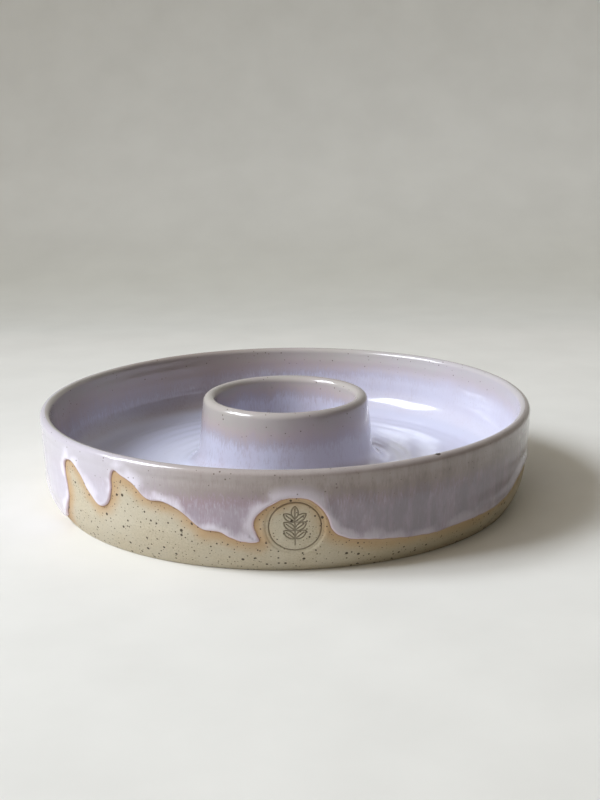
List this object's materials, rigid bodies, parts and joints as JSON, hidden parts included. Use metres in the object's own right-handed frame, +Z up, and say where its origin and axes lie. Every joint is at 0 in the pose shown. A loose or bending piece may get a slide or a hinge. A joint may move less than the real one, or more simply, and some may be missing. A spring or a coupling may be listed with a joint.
{
  "type": "chip and dip server",
  "caption": "Round stoneware serving dish with a straight low wall and a raised dip ring in its middle, glazed inside and part of the way down the outside in drips.",
  "frame": {"origin": "on the axis of the dish, at the height of the surface that it stands on", "axes": "+Z up along the axis; -Y is the side with the stamped mark; +X to the right when the mark faces the viewer"},
  "size_m": [0.254, 0.254, 0.052],
  "materials": {
    "stoneware": "bare speckled buff stoneware, matt, toasted orange where it meets the glaze",
    "lavender_glaze": "glossy opalescent lavender glaze, mottled, breaking to grey-beige on the rims"
  },
  "bodies": {
    "root": {"dish_body": "stoneware", "dip_ring": "stoneware", "trough_glaze": "lavender_glaze", "well_glaze": "lavender_glaze", "outer_glaze": "lavender_glaze"}
  },
  "joints": []
}
